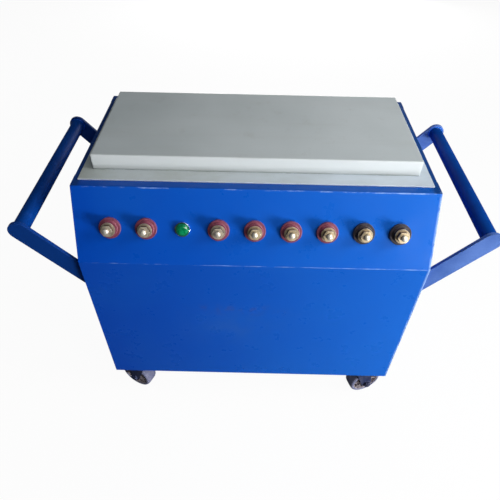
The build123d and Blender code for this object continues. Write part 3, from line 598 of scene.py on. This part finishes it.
def threaded_studs():
    """Studs with a real helical thread, a domed outer tip and a chamfered inner end."""
    bm = bmesh.new()
    step = THREAD_PITCH / 6
    count = 24
    chamfer = 1.1 * MM
    dome = 3.2 * MM
    rows = round((STUD_OUT + STUD_IN) / step)
    for number in range(1, 9):
        phase = random.Random(number).random()
        rings = []
        for row in range(rows + 1):
            z = -STUD_IN + (STUD_OUT + STUD_IN) * row / rows
            limit = STUD_R - max(0.0, chamfer - (z + STUD_IN))
            over_dome = max(0.0, 1.0 - (STUD_OUT - z) / dome)
            limit = min(limit, STUD_R * math.sqrt(1.0 - 0.9 * over_dome ** 2))
            ring = []
            for i in range(count):
                wave = (z / THREAD_PITCH - i / count + phase) % 1.0
                crest = max(0.0, min(1.0, abs(wave - 0.5) * 2.6 - 0.15))
                radius = min(limit, STUD_R - THREAD_DEPTH * (1 - crest))
                angle = TAU * i / count
                ring.append((radius * math.cos(angle), radius * math.sin(angle), z))
            rings.append(ring)
        skin(bm, rings, station(number))
    return finish_piece("threaded_studs", bm, "cabinet", "terminal_brass", 40, ["terminal_studs"])


threaded_studs()


# ---- pilot lamp ---------------------------------------------------------------
BEZEL_H = 4.0 * MM


def lamp_place():
    """Local frame of the lamp, on the panel's surface."""
    low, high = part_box("lamp_bezel")
    return upright((low + high) / 2 - OUTWARD * BEZEL_H / 2, OUTWARD)


def lamp_jewel():
    """Pressed jewel: three belts of staggered facets round a small table."""
    bm = bmesh.new()
    belts = [(10.7, 0.0, 0.0), (10.7, 4.8, 0.0), (9.7, 7.8, 0.5), (7.0, 10.1, 0.0), (3.4, 11.0, 0.5)]
    count = 12
    place = lamp_place()
    rows = []
    for radius, z, shift in belts:
        belt = circle(radius * MM, z * MM, count, TAU * shift / count)
        rows.append([bm.verts.new(place @ Vector(p)) for p in belt])
    for i in range(count):
        bm.faces.new((rows[0][i], rows[0][(i + 1) % count], rows[1][(i + 1) % count], rows[1][i]))
    for a, b, lead in ((rows[1], rows[2], 0), (rows[2], rows[3], 1), (rows[3], rows[4], 0)):
        for i in range(count):
            j = (i + 1) % count
            k = (i + lead) % count
            if lead:
                bm.faces.new((a[i], a[j], b[j]))
                bm.faces.new((a[i], b[j], b[i]))
            else:
                bm.faces.new((a[i], a[j], b[i]))
                bm.faces.new((a[j], b[j], b[i]))
    bm.faces.new(rows[0][::-1])
    bm.faces.new(rows[-1])
    return finish_piece("lamp_jewel", bm, "cabinet", "green_lens", 1, ["lamp_lens"])


lamp_jewel()


# ---- handles: weld beads -------------------------------------------------------
ARM_T = 6.0 * MM
ROOT_H = 53.9 * MM               # height of an arm's cut end on the wall
WALL_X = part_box("right_side_panel")[1].x


def handle_welds(side):
    """Beads round each arm's root on the wall and round the grip at each arm."""
    name = "right" if side > 0 else "left"
    low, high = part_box(f"{name}_handle_arms")
    bm = bmesh.new()
    for y0 in (low.y, high.y - ARM_T):
        path = box_path(y0, y0 + ARM_T, low.z, low.z + ROOT_H, side * WALL_X)
        bead(bm, path, 2.3 * MM, seed=y0 * 50)
    grip_low, grip_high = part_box(f"{name}_handle_grip")
    centre = (grip_low + grip_high) / 2
    radius = (grip_high.z - grip_low.z) / 2
    for y in (grip_low.y, grip_high.y):
        path = []
        for i in range(160):
            angle = TAU * i / 160
            path.append((centre.x + radius * math.cos(angle), y, centre.z + radius * math.sin(angle)))
        bead(bm, path, 1.5 * MM, seed=y * 70)
    finish_piece(f"{name}_handle_welds", bm, "cabinet", "blue_enamel", 50)


for side in (-1, 1):
    handle_welds(side)


# ---- castor wheels --------------------------------------------------------------
JOINTS = {joint["name"]: joint for joint in frame["joints"]}


def mirrored(profile):
    """A (radius, z) half profile, from the middle outwards, made whole about z = 0."""
    return [(r, -z) for r, z in profile[::-1]] + list(profile)


def castor_wheel(corner):
    """A moulded tyre on a ribbed centre with a hub."""
    wheel = f"{corner}_castor_wheel"
    low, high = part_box(wheel)
    axis = Vector(JOINTS[f"{corner}_roll"]["axis"]).normalized()
    place = upright((low + high) / 2, axis, (0, 0, 1))

    bm = bmesh.new()
    outer = [(37.5, 5.0), (37.4, 8.0), (37.1, 10.9), (36.3, 13.2), (34.7, 14.9), (32.6, 15.8), (31.0, 15.5)]
    inner = [(30.2, 14.4), (30.0, 4.0)]
    tyre = mirrored(outer) + inner + [(r, -z) for r, z in inner[::-1]]
    lathe(bm, [(r * MM, z * MM) for r, z in tyre], place, 96, loop=True)
    finish_piece(f"{corner}_castor_tyre", bm, f"{corner}_wheel", "castor_polymer", 34, material=TYRE)

    bm = bmesh.new()
    rim_side = [(29.9, 14.2), (29.0, 13.9), (28.2, 9.5), (27.2, 5.2)]
    hub_side = [(11.2, 6.0), (10.6, 14.8), (9.4, 15.8), (5.1, 15.8)]
    face = rim_side + hub_side
    centre = face[::-1] + [(r, -z) for r, z in face]
    lathe(bm, [(r * MM, z * MM) for r, z in centre[::-1]], place, 96, loop=True)
    for turn in range(8):
        spin = place @ Matrix.Rotation(TAU * turn / 8, 4, "Z")
        for side in (-1, 1):
            rib(bm, spin, side)
    finish_piece(f"{wheel}_centre", bm, f"{corner}_wheel", "castor_polymer", 34, [wheel])


def rib(bm, place, side):
    """A web from the hub to the rim, sunk a little into both."""
    outline = [(10.0, 4.8), (10.0, 13.5), (20.0, 12.0), (28.8, 12.6), (28.8, 4.2)]
    rows = []
    for y in (-1.1, 1.1):
        rows.append([bm.verts.new(place @ Vector((x * MM, y * MM, side * z * MM))) for x, z in outline])
    bm.faces.new(rows[0])
    bm.faces.new(rows[1][::-1])
    for i in range(len(outline)):
        j = (i + 1) % len(outline)
        bm.faces.new((rows[0][i], rows[1][i], rows[1][j], rows[0][j]))


for corner in CORNERS:
    castor_wheel(corner)


# ---- knob, dial and hinges --------------------------------------------------------
DIAL_LOW, DIAL_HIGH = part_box("dial_plate")
AXIS_X = (DIAL_LOW.x + DIAL_HIGH.x) / 2
AXIS_Y = (DIAL_LOW.y + DIAL_HIGH.y) / 2
KNOB_ZERO = math.radians(-110)   # the pointer's heading at zero output
KNOB_TRAVEL = math.radians(320)  # clockwise
INK_T = 0.15 * MM


def digits(words, size):
    """Raised figures as a mesh, centred on the origin."""
    data = bpy.data.curves.new("digits", "FONT")
    data.body = words
    data.size = size
    data.extrude = INK_T / 2
    data.align_x = "CENTER"
    data.align_y = "CENTER"
    holder = bpy.data.objects.new("digits", data)
    mesh = bpy.data.meshes.new_from_object(holder)
    bpy.data.objects.remove(holder)
    return mesh


def bar(bm, place, x0, x1, width, z0, z1):
    """A straight raised strip with a ridge-free top and drawn-in ends."""
    inset = min(width, x1 - x0) * 0.12
    low = [(x0, -width / 2, z0), (x1, -width / 2, z0), (x1, width / 2, z0), (x0, width / 2, z0)]
    high = [
        (x0 + inset, -width / 2 + inset, z1),
        (x1 - inset, -width / 2 + inset, z1),
        (x1 - inset, width / 2 - inset, z1),
        (x0 + inset, width / 2 - inset, z1),
    ]
    skin(bm, [low, high], place)


def dial_scale():
    """A scale of 0 to 100 over the knob's travel, with figures at every ten."""
    bm = bmesh.new()
    centre = Matrix.Translation((AXIS_X, AXIS_Y, DIAL_HIGH.z))
    for mark in range(0, 101, 2):
        heading = KNOB_ZERO - KNOB_TRAVEL * mark / 100
        spoke = centre @ Matrix.Rotation(heading, 4, "Z")
        long = mark % 10 == 0
        bar(bm, spoke, 48.5 * MM, (56.0 if long else 52.5) * MM, (0.9 if long else 0.5) * MM, 0.0, INK_T)
        if long:
            mesh = digits(str(mark), 7.0 * MM)
            out = spoke @ Matrix.Translation((63.5 * MM, 0, INK_T / 2)) @ Matrix.Rotation(-TAU / 4, 4, "Z")
            mesh.transform(out)
            bm.from_mesh(mesh)
            bpy.data.meshes.remove(mesh)
    finish_piece("dial_scale", bm, "cabinet", "black_bakelite", 30, material=DIAL_INK)


def knob_trim():
    """Spun cap let on to the knob's top and the white line in its index notch."""
    low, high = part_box("control_knob")
    bm = bmesh.new()
    grooves = [(20.5, 0.0), (20.5, 0.5), (20.0, 0.9), (18.6, 1.0)]
    for step in range(6):
        radius = 17.5 - step * 2.6
        grooves += [(radius, 1.0), (radius - 0.6, 0.8), (radius - 1.2, 0.8), (radius - 1.8, 1.0)]
    top = Matrix.Translation((AXIS_X, AXIS_Y, high.z))
    lathe(bm, [(r * MM, z * MM) for r, z in grooves], top, 72)
    notch = Matrix.Translation((AXIS_X, AXIS_Y, low.z)) @ Matrix.Rotation(KNOB_ZERO, 4, "Z")
    bar(bm, notch, 33.3 * MM, 44.8 * MM, 1.8 * MM, 4.5 * MM, 5.9 * MM)
    finish_piece("knob_trim", bm, "rotor", "dial_aluminium", 25)


def slotted_head(bm, place, radius, height, slot):
    """A low domed screw head with a driver slot pressed into it."""
    rings = [[(x, y, 0.0) for x, y, _ in circle(radius, 0.0, 48)]]
    steps = 10
    for step in range(steps):
        reach = radius * (1 - step / steps)
        ring = []
        for x, y, _ in circle(reach, 0.0, 48):
            z = height * math.sqrt(max(0.0, 1 - 0.75 * (reach / radius) ** 2))
            ring.append((x, y, min(z, height * 0.35) if abs(y) < slot / 2 else z))
        rings.append(ring)
    skin(bm, rings, place)


HINGE_X = 180 * MM
HINGE_SCREW_X = 20 * MM
LEAF_T = 1.4 * MM
COVER_SHEET = 2.0 * MM


def hinge_screws():
    """Two screws through each hinge leaf, on the frame's side and on the cover's."""
    frame_high_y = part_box("frame_hinge_leaves")[1].y
    frame_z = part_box("frame_hinge_leaves")[0].z + LEAF_T
    cover_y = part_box("cover_hinge_leaves")[0].y
    cover_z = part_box("top_cover")[0].z + COVER_SHEET + LEAF_T
    frame_places = [(frame_high_y - 3.4 * MM, frame_z)]
    cover_places = [(cover_y + 6.0 * MM, cover_z), (cover_y + 19.0 * MM, cover_z)]
    rows = (
        ("frame_hinge_screws", "cabinet", frame_places, 2.1 * MM),
        ("cover_hinge_screws", "cover", cover_places, 3.4 * MM),
    )
    for name, body, places, radius in rows:
        bm = bmesh.new()
        for side in (-1, 1):
            for offset in (-1, 1):
                for y, z in places:
                    turn = random.Random(f"{name} {side} {offset} {y:.4f}").uniform(0, math.pi)
                    at = Matrix.Translation((side * HINGE_X + offset * HINGE_SCREW_X, y, z))
                    slotted_head(bm, at @ Matrix.Rotation(turn, 4, "Z"), radius, 1.1 * MM, 0.8 * MM)
        finish_piece(name, bm, body, "zinc_plate", 28)


dial_scale()
knob_trim()
hinge_screws()


# ---- windings -----------------------------------------------------------------------
GANG_PITCH = 115 * MM
COIL_OUTER = 125 * MM
COIL_HOLE = 55 * MM
COIL_H = 60 * MM
COIL_T = 8 * MM
COIL_CORNER = 6 * MM
COIL_TURNS = 200
COIL_START = math.radians(-75)
COIL_ARC = math.radians(330)
WIRE_DIP = 0.7 * MM


def coil_loop(inset, corner, z0):
    """(radius, z) round a coil's rounded square section, drawn in by an inset."""
    r0, r1 = COIL_HOLE + inset + corner, COIL_OUTER - inset - corner
    low, high = z0 + inset + corner, z0 + COIL_H - inset - corner
    points = []
    for r, z, start in ((r1, high, 0), (r0, high, 1), (r0, low, 2), (r1, low, 3)):
        for step in range(5):
            angle = (start + step / 4) * TAU / 4
            points.append((r + corner * math.cos(angle), z + corner * math.sin(angle)))
    return points


def winding_turns():
    """Every turn of wire as a ridge round the core, with the ends left square."""
    bm = bmesh.new()
    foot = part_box("windings")[0].z
    centre = Matrix.Translation((AXIS_X, AXIS_Y, 0))
    for gang in range(3):
        z0 = foot + gang * GANG_PITCH
        rows = []
        for step in range(2 * COIL_TURNS + 1):
            angle = COIL_START + COIL_ARC * step / (2 * COIL_TURNS)
            dip = WIRE_DIP if step % 2 == 0 else 0.0
            loop = coil_loop(dip, COIL_CORNER, z0)
            rows.append([(r * math.cos(angle), r * math.sin(angle), z) for r, z in loop])
        for step in (2 * COIL_TURNS, 0):
            angle = COIL_START + COIL_ARC * step / (2 * COIL_TURNS)
            loop = coil_loop(COIL_T, 1.0 * MM, z0)
            rows.append([(r * math.cos(angle), r * math.sin(angle), z) for r, z in loop])
        skin(bm, rows, centre, loop=True)
    finish_piece("winding_turns", bm, "cabinet", "enamelled_copper", 60, ["windings"])


winding_turns()


# ---- stage, light and camera ------------------------------------------------------
FLOOR_HALF = 30.0
SENSOR = 36.0                    # camera sensor and lens in millimetres
LENS = 33.15
EYE = Vector((-0.005, -0.72594, 1.020))
YAW, PITCH, ROLL = (math.radians(angle) for angle in (0.25, 44.5, -1.13))


def floor():
    """A broad plain floor on the plane that the castors stand on, near white to the camera."""
    bm = bmesh.new()
    bmesh.ops.create_grid(bm, x_segments=8, y_segments=8, size=FLOOR_HALF)
    mesh = bpy.data.meshes.new("studio_floor")
    bm.to_mesh(mesh)
    bm.free()
    f = Finish("studio_floor", Roughness=0.9, Specular_IOR_Level=0.0)
    path = f.add("ShaderNodeLightPath")
    seen = path.outputs["Is Camera Ray"]
    f.colour(f.mix(seen, (0.14, 0.14, 0.14), (0.86, 0.86, 0.86)))
    glow = f.add("ShaderNodeEmission")
    glow.inputs["Strength"].default_value = 1.0
    join = f.add("ShaderNodeMixShader")
    f.put(join.inputs[0], f.maths("MULTIPLY", seen, 0.95))
    f.put(join.inputs[1], f.shader.outputs[0])
    f.put(join.inputs[2], glow.outputs[0])
    f.put(f.tree.nodes["Material Output"].inputs["Surface"], join.outputs[0])
    mesh.materials.append(f.material)
    plate = bpy.data.objects.new("studio_floor", mesh)
    bpy.context.scene.collection.objects.link(plate)
    plate.location.z = CAD_BOX[0][2]


def area_light(name, at, towards, size, power, colour=(1, 1, 1)):
    """A soft rectangular light, placed in metres and aimed at a point."""
    data = bpy.data.lights.new(name, "AREA")
    data.shape = "RECTANGLE"
    data.size, data.size_y = size
    data.energy = power
    data.color = colour
    lamp = bpy.data.objects.new(name, data)
    lamp.location = at
    lamp.rotation_euler = (Vector(towards) - Vector(at)).to_track_quat("-Z", "Y").to_euler()
    bpy.context.scene.collection.objects.link(lamp)


def sky():
    """Dim all round and lighter overhead; plain white where the camera sees it."""
    world = bpy.data.worlds.new("studio")
    bpy.context.scene.world = world
    world.use_nodes = True
    tree = world.node_tree
    out = tree.nodes["World Output"]
    dim = tree.nodes["Background"]
    place = tree.nodes.new("ShaderNodeTexCoord")
    split = tree.nodes.new("ShaderNodeSeparateXYZ")
    tree.links.new(place.outputs["Generated"], split.inputs[0])
    rise = tree.nodes.new("ShaderNodeMapRange")
    rise.inputs["From Min"].default_value = -0.1
    rise.inputs["From Max"].default_value = 1.0
    rise.inputs["To Min"].default_value = 0.02
    rise.inputs["To Max"].default_value = 0.09
    tree.links.new(split.outputs["Z"], rise.inputs["Value"])
    tree.links.new(rise.outputs["Result"], dim.inputs["Strength"])
    dim.inputs["Color"].default_value = (0.93, 0.97, 1.0, 1.0)
    white = tree.nodes.new("ShaderNodeBackground")
    white.inputs["Color"].default_value = (1, 1, 1, 1)
    path = tree.nodes.new("ShaderNodeLightPath")
    join = tree.nodes.new("ShaderNodeMixShader")
    tree.links.new(path.outputs["Is Camera Ray"], join.inputs[0])
    tree.links.new(dim.outputs[0], join.inputs[1])
    tree.links.new(white.outputs[0], join.inputs[2])
    tree.links.new(join.outputs[0], out.inputs["Surface"])


def camera():
    """The viewpoint: a little left of the middle, above the front, looking down."""
    data = bpy.data.cameras.new("camera")
    data.lens = LENS
    data.sensor_width = SENSOR
    eye = bpy.data.objects.new("camera", data)
    level = math.cos(PITCH)
    forward = Vector((-math.sin(YAW) * level, math.cos(YAW) * level, -math.sin(PITCH)))
    right = Vector((math.cos(YAW), math.sin(YAW), 0))
    down = forward.cross(right)
    tilted_right = right * math.cos(ROLL) + down * math.sin(ROLL)
    tilted_down = down * math.cos(ROLL) - right * math.sin(ROLL)
    turn = Matrix((tilted_right, -tilted_down, -forward)).transposed()
    eye.matrix_world = Matrix.Translation(EYE) @ turn.to_4x4()
    bpy.context.scene.collection.objects.link(eye)
    bpy.context.scene.camera = eye


floor()
sky()
area_light("window", (1.2, -0.45, 1.35), (0.1, -0.1, 0.45), (0.7, 0.7), 16.5, (1.0, 0.99, 0.97))
area_light("low_window", (1.5, -1.5, 0.25), (0.1, -0.1, 0.40), (0.7, 0.5), 39.0)
area_light("high_window", (0.8, -1.6, 2.1), (0.0, -0.1, 0.45), (0.9, 0.9), 14.0)
area_light("top", (0.6, 0.4, 2.6), (0.0, 0.0, 0.5), (1.4, 1.4), 4.0, (0.93, 0.97, 1.0))
area_light("rear", (0.3, 3.0, 0.5), (0.0, 0.2, 0.35), (1.8, 0.9), 60.0)
area_light("left", (-2.8, 0.6, 0.45), (-0.3, 0.0, 0.35), (1.2, 0.8), 12.0)
camera()
bpy.context.scene.view_settings.view_transform = "Standard"
